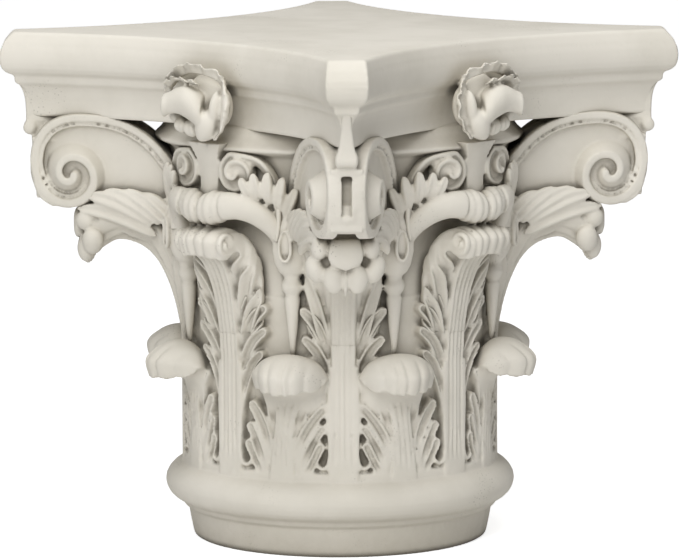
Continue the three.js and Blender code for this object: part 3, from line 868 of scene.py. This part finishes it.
# Stem of the inner calyx leaf: azimuth from the middle of the side, out, up, half depth, half height
CALYX_STEM = [
    (27, 158, 255, 6, 6), (27, 161, 280, 7, 8), (26, 165, 306, 8, 9.5), (22.5, 172, 328, 9, 11),
    (17.5, 182, 343, 9.5, 12), (12.5, 190, 350, 10, 13), (8, 194, 350, 10, 14),
]


def calyx_stem():
    def shape(turn, share):
        row = through(CALYX_STEM, share)
        ahead = through(CALYX_STEM, np.minimum(share + 0.02, 1)) - through(CALYX_STEM, np.maximum(share - 0.02, 0))
        run = np.hypot(ahead[..., 0] * 3.1, ahead[..., 2])
        sine, cosine = -ahead[..., 0] * 3.1 / run, ahead[..., 2] / run
        a = turn * 2 * np.pi
        deep = row[..., 3] * np.cos(a)
        wide = row[..., 4] * np.sin(a)
        azimuth = row[..., 0] + np.degrees(wide * cosine / row[..., 1])
        return polar(azimuth, row[..., 1] + deep, row[..., 2] + wide * sine)

    return rod(32, 40, shape)


leaves.add(calyx_stem(), mirrored=True)


def calyx_finger(azimuth, up, out, size, lean):
    """Finger of the calyx leaf, standing off its stem."""
    c, s = math.cos(math.radians(lean)), math.sin(math.radians(lean))

    def shape(x, y, z):
        across, tall = size[1] * y, size[2] * z
        trough = 0.5 * size[0] * np.exp(-(y / 0.4) ** 2) * (x > 0)
        swing = np.degrees((across * c + tall * s) / out)
        return polar(azimuth + swing, out + size[0] * x - trough + 3 * z, up + tall * c - across * s)

    return ball(shape, 24, 20)


for azimuth, up, out, size, lean in (
    (28, 352, 176, (7, 6, 20), 22), (25, 362, 180, (7, 6, 19), 12), (21.5, 368, 184, (7, 6, 17), 2),
    (18, 370, 187, (6, 5.5, 14), -10), (15, 368, 190, (6, 5, 12), -22), (30.5, 338, 172, (7, 6, 18), 34),
    (32, 322, 168, (6, 5, 16), 40),
):
    leaves.add(calyx_finger(azimuth, up, out, size, lean), mirrored=True)


def calyx_roll():
    """Rolled tip of an inner calyx leaf, with its folds."""
    def shape(turn, share):
        a = turn * 2 * np.pi
        bump = scallops(2 * share - 1, 3)
        size = (15 - 3.2 * (1 - bump)) * (1 - 0.25 * np.abs(2 * share - 1) ** 2)
        size = size * np.where((share == 0) | (share == 1), 0.35, 1.0)
        out = 193 - 5 * share + size * np.cos(a)
        return polar(0, out, 345 + 4 * share + 1.15 * size * np.sin(a), 0.5 + 27 * share)

    return rod(40, 48, shape)


leaves.add(calyx_roll(), mirrored=True)

# ---------------------------------------------------------------- flower and stem
def ruffle(hand, path, wide, seed):
    """Crinkled petal: an arched band along a path of side, up and out, standing off the flower."""
    def shape(x, y, front):
        row = through(path, (x + 1) / 2)
        crinkle = 2.2 * np.sin(13 * x + seed) + 1.2 * np.sin(29 * x + 2 * seed)
        lift = mix(0, wide, y)
        out = row[..., 2] + np.where(front, 3.4, -1.6) * (1 - 0.55 * y) + crinkle * y + 7 * y ** 2
        up = row[..., 1] + lift * row[..., 4] + 1.3 * np.sin(17 * x + seed) * y
        side = row[..., 0] + lift * row[..., 3]
        return polar(0, out, up, hand * side)

    return sheet(60, 14, shape)


def petal(hand, side, up, out, size, lean=0.0, curl=0.0):
    """Rounded petal or lobe of a flower."""
    c, s = math.cos(math.radians(lean)), math.sin(math.radians(lean))

    def shape(x, y, z):
        across, tall = size[1] * y, size[2] * z * (1 + 0.06 * np.sin(5 * y + 1))
        reach = size[0] * x - 0.35 * size[0] * np.exp(-(y / 0.35) ** 2) * (x > 0) * curl
        return polar(0, out + reach, up + tall * c - across * s, hand * (side + across * c + tall * s))

    return ball(shape, 32, 20)


TRUMPET = [(-14, 440, 202, 17), (-8, 446, 207, 17.5), (2, 451, 211, 16), (12, 452, 214, 13), (21, 449, 217, 11), (27, 446, 219, 11.8)]


def trumpet(hand):
    """Open tube of a flower, its mouth turned away along the side."""
    def shape(turn, share):
        a = turn * 2 * np.pi
        outer = share < 0.74
        run = np.where(outer, share / 0.74, 1 - (share - 0.74) / 0.26 * 0.35)
        row = through(TRUMPET, run)
        size = row[..., 3] - np.where(outer, 0, 3.6)
        size = np.where((share == 0) | (share == 1), 0.5, size)
        side = row[..., 0] + 0.45 * size * np.cos(a)
        out = row[..., 2] - 0.85 * size * np.cos(a)
        return polar(0, out, row[..., 1] + size * np.sin(a), hand * side)

    return rod(44, 44, shape)


# Ruffled petals: side, up, out, then which way they stand off: sideways and up
CREST = [(-36, 470, 196, -0.3, 0.9), (-18, 476, 201, -0.1, 1.0), (0, 478, 203, 0, 1.0), (18, 473, 202, 0.2, 1.0), (36, 462, 196, 0.6, 0.8)]
BROW = [(40, 455, 193, 0.9, 0.3), (30, 463, 203, 0.6, 0.6), (16, 470, 209, 0.3, 0.6), (0, 470, 211, 0.1, 0.5), (-14, 467, 208, -0.2, 0.5)]
BACK = [(-30, 470, 196, -0.7, 0.6), (-37, 458, 197, -1.0, 0.2), (-38, 444, 198, -1.0, -0.1), (-33, 430, 199, -0.8, -0.5), (-24, 420, 199, -0.5, -0.8)]

for quarter, hand in ((0, 1), (1, -1), (2, 1), (3, -1)):
    here = (quarter,)
    top.add(petal(hand, -4, 447, 190, (12, 34, 28)), quarters=here)
    top.add(trumpet(hand), quarters=here)
    top.add(ruffle(hand, CREST, 11, 1.0), quarters=here)
    top.add(ruffle(hand, BROW, 9, 2.0), quarters=here)
    top.add(ruffle(hand, BACK, 9, 3.0), quarters=here)
    top.add(petal(hand, -19, 429, 205, (11, 12, 17), -25), quarters=here)
    top.add(petal(hand, -30, 446, 203, (9, 6, 17), -8), quarters=here)
    top.add(petal(hand, 4, 425, 203, (8, 9, 9), 0, 1), quarters=here)
    top.add(petal(hand, 18, 427, 203, (8, 7.5, 8), 0, 1), quarters=here)
    top.add(petal(hand, 29, 436, 200, (7, 6.5, 8), 0, 1), quarters=here)

FLOWER_STEM = [(188, 352, 12), (186, 366, 12), (186, 384, 13), (190, 398, 16), (194, 410, 22)]


def flower_stem():
    def shape(x, y, front):
        row = through(FLOWER_STEM, y)
        out = np.where(front, row[..., 0] - 2.4 * x ** 2 + 0.8 * np.abs(x) ** 8, 160)
        return polar(0, out, row[..., 1], x * row[..., 2])

    return sheet(16, 24, shape)


crown.add(flower_stem())


def disc():
    """Small round boss beside the stem of a flower."""
    def shape(x, y, z):
        ring = np.hypot(y, z)
        return polar(5.5, 180 + 3.5 * x - 2.5 * np.exp(-(ring / 0.5) ** 2) * (x > 0), 386 + 5.5 * z, 5.5 * y)

    return ball(shape, 24, 16)


crown.add(disc(), mirrored=True)

# ---------------------------------------------------------------- closed meshes of the casting
def settled(obj):
    """The object's mesh with its modifiers carried out."""
    bpy.context.view_layer.update()
    graph = bpy.context.evaluated_depsgraph_get()
    mesh = bpy.data.meshes.new_from_object(obj.evaluated_get(graph))
    obj.modifiers.clear()
    obj.data = mesh


def keep_largest(mesh):
    """Drops loose bits and walled-in cavities."""
    bm = bmesh.new()
    bm.from_mesh(mesh)
    bm.verts.ensure_lookup_table()
    label = np.full(len(bm.verts), -1)
    shells = 0
    for start in bm.verts:
        if label[start.index] < 0:
            label[start.index] = shells
            reached = [start]
            while reached:
                vert = reached.pop()
                for edge in vert.link_edges:
                    other = edge.other_vert(vert)
                    if label[other.index] < 0:
                        label[other.index] = shells
                        reached.append(other)
            shells += 1
    largest = np.argmax(np.bincount(label))
    strays = [v for v in bm.verts if label[v.index] != largest]
    bmesh.ops.delete(bm, geom=strays, context="VERTS")
    bm.to_mesh(mesh)
    bm.free()


def cast(casting):
    """Melts the shells together into one closed mesh with few enough faces."""
    mesh = bpy.data.meshes.new(casting.name)
    casting.bm.to_mesh(mesh)
    casting.bm.free()
    piece = bpy.data.objects.new(casting.name, mesh)
    bpy.context.scene.collection.objects.link(piece)
    melt = piece.modifiers.new("melt", "REMESH")
    melt.mode = "VOXEL"
    melt.voxel_size = casting.voxel * MM * 1
    settled(piece)
    thin = piece.modifiers.new("thin", "DECIMATE")
    thin.decimate_type = "COLLAPSE"
    thin.ratio = min(1.0, TRIANGLES / (2 * len(piece.data.polygons)))
    settled(piece)
    keep_largest(piece.data)
    piece.data.shade_smooth()
    return piece


pieces = [cast(casting) for casting in (bell, leaves, crown, top)]

# ---------------------------------------------------------------- stone
class Value:
    """A socket that Python's arithmetic turns into Math nodes."""

    def __init__(self, tree, socket):
        self.tree = tree
        self.socket = socket

    def math(self, operation, *others, clamp=False):
        node = self.tree.nodes.new("ShaderNodeMath")
        node.operation = operation
        node.use_clamp = clamp
        for slot, value in zip(node.inputs, others):
            if isinstance(value, Value):
                self.tree.links.new(value.socket, slot)
            else:
                slot.default_value = value
        return Value(self.tree, node.outputs[0])

    def __add__(self, other):
        return self.math("ADD", self, other)

    def __sub__(self, other):
        return self.math("SUBTRACT", self, other)

    def __mul__(self, other):
        return self.math("MULTIPLY", self, other)

    def __pow__(self, other):
        return self.math("POWER", self, other)

    def __rsub__(self, other):
        return self.math("SUBTRACT", other, self)

    __radd__ = __add__
    __rmul__ = __mul__


class Finish:
    """A material and the nodes that make it."""

    def __init__(self, name):
        self.material = bpy.data.materials.new(name)
        self.material.use_nodes = True
        self.tree = self.material.node_tree
        self.tree.nodes.clear()

    def node(self, kind, settings=None, values=None, output=0):
        """Adds a node, sets it up, and gives one of its outputs."""
        node = self.tree.nodes.new("ShaderNode" + kind)
        for name, value in (settings or {}).items():
            setattr(node, name, value)
        for name, value in (values or {}).items():
            slot = node.inputs[name]
            if isinstance(value, Value):
                self.tree.links.new(value.socket, slot)
            else:
                slot.default_value = value
        return Value(self.tree, node.outputs[output]) if len(node.outputs) else None

    def blend(self, share, first, second):
        """Mix of two colours."""
        return self.node("Mix", {"data_type": "RGBA"}, {0: share, 6: first, 7: second}, 2)

    def step(self, value, low, high, to_low=0.0, to_high=1.0):
        """Soft step of a value from one range to another."""
        return self.node("MapRange", {"interpolation_type": "SMOOTHSTEP"},
                         {0: value, 1: low, 2: high, 3: to_low, 4: to_high})


def linear(red, green, blue):
    """Colour of everyday 0 to 255 values as the renderer takes it."""
    def channel(value):
        share = value / 255
        return share / 12.92 if share <= 0.04045 else ((share + 0.055) / 1.055) ** 2.4

    return (channel(red), channel(green), channel(blue), 1.0)


def cast_stone():
    stone = Finish("cast_stone")
    place = stone.node("TexCoord", output=3)
    cloud = stone.node("TexNoise", {}, {"Vector": place, "Scale": 9.0, "Detail": 5.0, "Roughness": 0.6})
    grain = stone.node("TexNoise", {}, {"Vector": place, "Scale": 420.0, "Detail": 3.0, "Roughness": 0.6})
    speck = stone.node("TexNoise", {}, {"Vector": place, "Scale": 95.0, "Detail": 4.0, "Roughness": 0.65})
    patch = stone.node("TexNoise", {}, {"Vector": place, "Scale": 13.0, "Detail": 2.0, "Roughness": 0.5})
    pores = stone.node("TexVoronoi", {"feature": "F1"}, {"Vector": place, "Scale": 330.0, "Randomness": 1.0})
    # Ambient occlusion over a short and a wide reach, used below to paint shade into creases and recesses
    near = stone.node("AmbientOcclusion", {"samples": 12}, {"Distance": 0.010}, 1)
    wide = stone.node("AmbientOcclusion", {"samples": 12}, {"Distance": 0.055}, 1)
    light = linear(224, 219, 208)
    cool = linear(214, 209, 197)
    # Brownish colour of the painted shade in recesses
    painted_recess_shade = linear(168, 160, 143)
    # Dark colour for the painted shade in creases, and for the pits
    dark = linear(104, 98, 86)
    body = stone.blend(stone.step(cloud, 0.35, 0.68), light, cool)
    # Painted shade: where wide ambient occlusion finds a recess, the stone is darkened towards the recess shade
    # colour, more in some spots than others
    settled = stone.step(wide, 0.92, 0.35) * stone.step(speck, 0.25, 0.75, 0.75, 1.0)
    body = stone.blend(settled * 0.55, body, painted_recess_shade)
    # Painted shade: creases and joins between parts, found by near ambient occlusion, are darkened towards the dark
    # colour
    painted_crease_shade = stone.step(near, 0.86, 0.38)
    body = stone.blend(painted_crease_shade * 0.75, body, dark)
    pitted = stone.step(patch, 0.60, 0.72)
    holes = stone.step(pores, 0.26, 0.10) * pitted
    body = stone.blend(holes * 0.55, body, dark)
    height = grain * 0.10 + speck * 0.35 - holes * 1.6
    bump = stone.node("Bump", {}, {"Strength": 0.35, "Distance": 0.0008, "Height": height})
    shader = stone.node("BsdfPrincipled", {}, {
        "Base Color": body,
        "Roughness": 0.78 + speck * 0.1 - 0.05,
        "Normal": bump,
    })
    stone.node("OutputMaterial", {}, {"Surface": shader})
    return stone.material


stone = cast_stone()
for piece in pieces:
    piece.data.materials.clear()
    piece.data.materials.append(stone)
    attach(piece, "root")
    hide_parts("capital")

# ---------------------------------------------------------------- floor, light and camera
def floor():
    bm = bmesh.new()
    bmesh.ops.create_grid(bm, x_segments=1, y_segments=1, size=60)
    mesh = bpy.data.meshes.new("studio_floor")
    bm.to_mesh(mesh)
    bm.free()
    obj = bpy.data.objects.new("studio_floor", mesh)
    bpy.context.scene.collection.objects.link(obj)
    plain = Finish("studio_white")
    seen = plain.node("LightPath")
    shader = plain.node("BsdfPrincipled", {}, {
        "Base Color": (0.9, 0.9, 0.9, 1), "Roughness": 0.9,
        "Emission Color": (1, 1, 1, 1), "Emission Strength": seen * 0.75,
    })
    plain.node("OutputMaterial", {}, {"Surface": shader})
    mesh.materials.append(plain.material)
    return obj


floor()


def area_light(name, place, target, size, power):
    light = bpy.data.lights.new(name, "AREA")
    light.shape = "RECTANGLE"
    light.size, light.size_y = size
    light.energy = power
    obj = bpy.data.objects.new(name, light)
    obj.location = place
    obj.rotation_euler = (Vector(target) - Vector(place)).to_track_quat("-Z", "Y").to_euler()
    bpy.context.scene.collection.objects.link(obj)


VIEW_AZIMUTH = 43.685
VIEW_DISTANCE = 5.3677
VIEW_HEIGHT = 1.0007
VIEW_TILT = 0.138
VIEW_ROLL = 0.0028
LENS = 286.6


def around(azimuth, distance, up):
    """Place at an azimuth as the viewer counts it, 0 in front of the -Y side."""
    a = math.radians(azimuth)
    return (distance * math.sin(a), -distance * math.cos(a), up)


area_light("overhead_softbox", around(VIEW_AZIMUTH, 0.8, 2.6), (0, 0, 0.3), (1.8, 1.8), 36)
area_light("front_softbox", around(VIEW_AZIMUTH - 14, 3.2, 1.9), (0, 0, 0.25), (1.6, 1.6), 52)


def studio_world():
    """White background, with a softer white light from it."""
    world = bpy.data.worlds.new("studio")
    world.use_nodes = True
    tree = world.node_tree
    tree.nodes.clear()
    seen = tree.nodes.new("ShaderNodeLightPath")
    strength = tree.nodes.new("ShaderNodeMapRange")
    strength.inputs[3].default_value = 0.26
    strength.inputs[4].default_value = 1.0
    shine = tree.nodes.new("ShaderNodeBackground")
    shine.inputs[0].default_value = (1, 1, 1, 1)
    output = tree.nodes.new("ShaderNodeOutputWorld")
    tree.links.new(seen.outputs["Is Camera Ray"], strength.inputs[0])
    tree.links.new(strength.outputs[0], shine.inputs[1])
    tree.links.new(shine.outputs[0], output.inputs[0])
    bpy.context.scene.world = world


studio_world()
bpy.context.scene.view_settings.view_transform = "Standard"


def camera():
    a = math.radians(VIEW_AZIMUTH)
    eye = Vector(around(VIEW_AZIMUTH, VIEW_DISTANCE, VIEW_HEIGHT))
    level = Vector((-math.sin(a), math.cos(a), 0))
    right = Vector((math.cos(a), math.sin(a), 0))
    ahead = level * math.cos(VIEW_TILT) - Vector((0, 0, math.sin(VIEW_TILT)))
    up = right.cross(ahead)
    turned = right * math.cos(VIEW_ROLL) - up * math.sin(VIEW_ROLL)
    upright = right * math.sin(VIEW_ROLL) + up * math.cos(VIEW_ROLL)
    lens = bpy.data.cameras.new("studio_camera")
    lens.lens = LENS
    lens.sensor_width = 36
    lens.clip_end = 200
    obj = bpy.data.objects.new("studio_camera", lens)
    frame_axes = Matrix((turned, upright, -ahead)).transposed().to_4x4()
    obj.matrix_world = Matrix.Translation(eye) @ frame_axes
    bpy.context.scene.collection.objects.link(obj)
    bpy.context.scene.camera = obj


camera()
